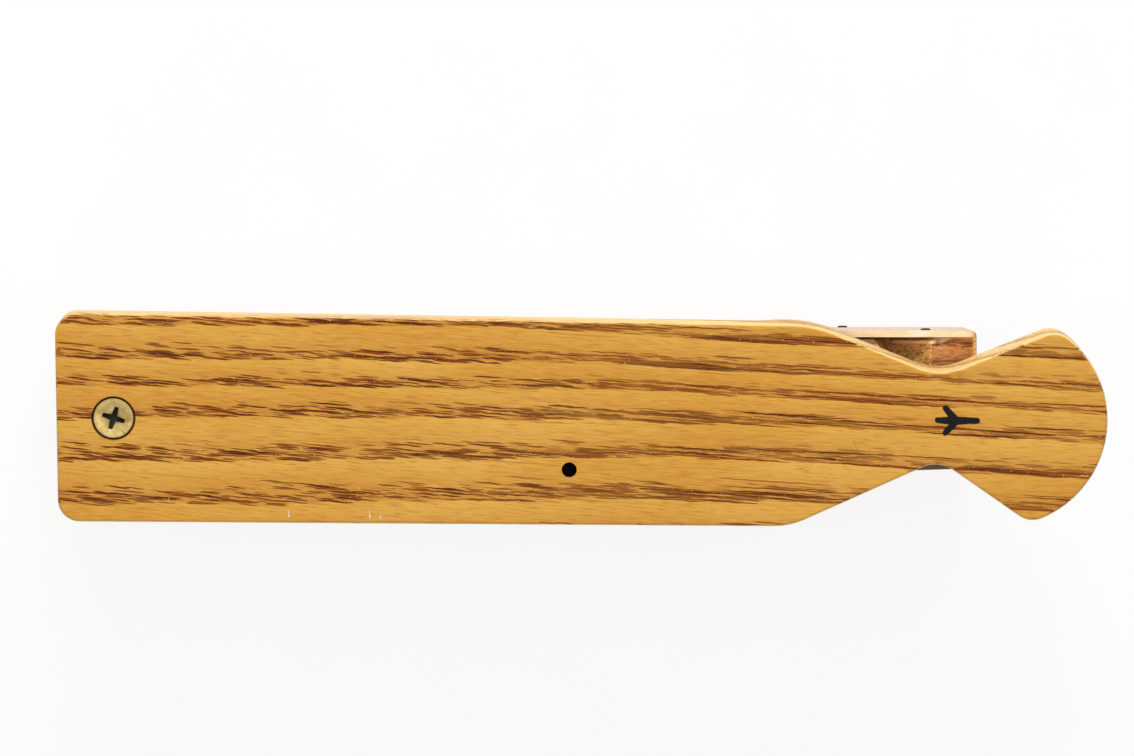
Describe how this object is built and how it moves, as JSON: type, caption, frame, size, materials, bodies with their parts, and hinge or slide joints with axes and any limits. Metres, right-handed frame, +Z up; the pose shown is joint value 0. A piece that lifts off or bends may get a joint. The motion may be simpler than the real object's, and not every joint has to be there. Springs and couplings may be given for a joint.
{
  "type": "box call",
  "caption": "Wooden paddle-lid box call: a tapered thin-walled sound box with arched lips, and a long crowned lid with a waisted handle that swings on a sprung brass pivot screw.",
  "frame": {"origin": "centre of the sound box's flat bottom, half way between its two ends", "axes": "+X along the box from the pivot end to the handle end, +Z up from the bottom to the lid"},
  "size_m": [0.243, 0.0516, 0.0503],
  "materials": {
    "lid_wood": "ring-porous honey wood under satin varnish",
    "side_wood": "thin pale boards under satin varnish, lips bare",
    "block_wood": "brown blocks, cut surfaces left rough",
    "floor_wood": "plain board under satin varnish",
    "screw_brass": "worn pale brass",
    "spring_steel": "drawn spring wire",
    "washer_steel": "plain zinc-plated",
    "brad_steel": "dark oxidised heads"
  },
  "bodies": {
    "box": {"hinge_block": "block_wood", "handle_block": "block_wood", "floor_board": "floor_wood", "far_side_board": "side_wood", "near_side_board": "side_wood", "far_side_brads": "brad_steel", "near_side_brads": "brad_steel", "pivot_screw": "screw_brass", "pivot_spring": "spring_steel"},
    "swivel": {"lid_washer": "washer_steel"},
    "lid": {"paddle_lid": "lid_wood"}
  },
  "joints": [
    {"name": "lid_swing", "type": "hinge", "parent": "box", "child": "swivel", "pos_m": [-0.0936, 0, 0.03645], "axis": [0, 0, 1], "continuous": true},
    {"name": "lid_lift", "type": "hinge", "parent": "swivel", "child": "lid", "pos_m": [-0.0991, 0.00013, 0.03645], "axis": [-0.0244, -0.9997, 0], "range_deg": [0, 0.8]}
  ]
}
